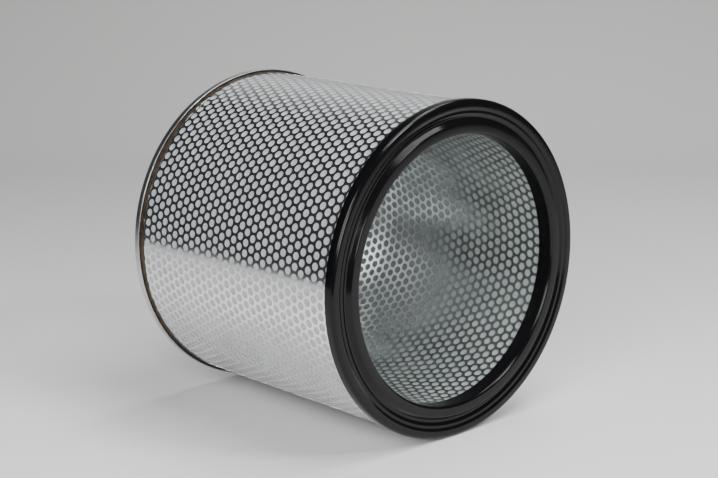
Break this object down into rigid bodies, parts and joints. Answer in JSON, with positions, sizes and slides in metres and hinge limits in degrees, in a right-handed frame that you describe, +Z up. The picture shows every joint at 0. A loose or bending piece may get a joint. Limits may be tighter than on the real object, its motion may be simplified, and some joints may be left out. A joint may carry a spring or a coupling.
{
  "type": "dust collector filter cartridge",
  "caption": "Round pleated filter cartridge with perforated steel liners, a black moulded sealing cap at its open end and a pressed steel closed end.",
  "frame": {"origin": "on the ground plane, under the middle of the lying cartridge", "axes": "+Y along the cartridge's axis towards its closed end, +Z up, the open end faces -Y"},
  "size_m": [0.26, 0.236, 0.26],
  "materials": {
    "seal_polyurethane": "smooth moulded, satin gloss, black",
    "liner_steel": "bright galvanised, smooth",
    "inner_liner_steel": "galvanised, duller than the outside",
    "fleece": "pale grey-white spunbond fleece",
    "inner_fleece": "pale grey-green fleece",
    "filter_media": "off-white pleated nonwoven",
    "clip_steel": "plain strip",
    "hot_melt": "set hot-melt adhesive",
    "end_cap_steel": "bright tin-plated or galvanised pressing",
    "potting_adhesive": "dark brown set adhesive"
  },
  "bodies": {
    "root": {"seal_cap": "seal_polyurethane", "outer_liner": "liner_steel", "inner_liner": "inner_liner_steel", "outer_fleece": "fleece", "inner_fleece": "inner_fleece", "pleated_media": "filter_media", "media_seam_clip": "clip_steel", "pleat_spacer_bead_1": "hot_melt", "pleat_spacer_bead_2": "hot_melt", "pleat_spacer_bead_3": "hot_melt", "closed_end_cap": "end_cap_steel", "end_potting": "potting_adhesive"}
  },
  "joints": []
}
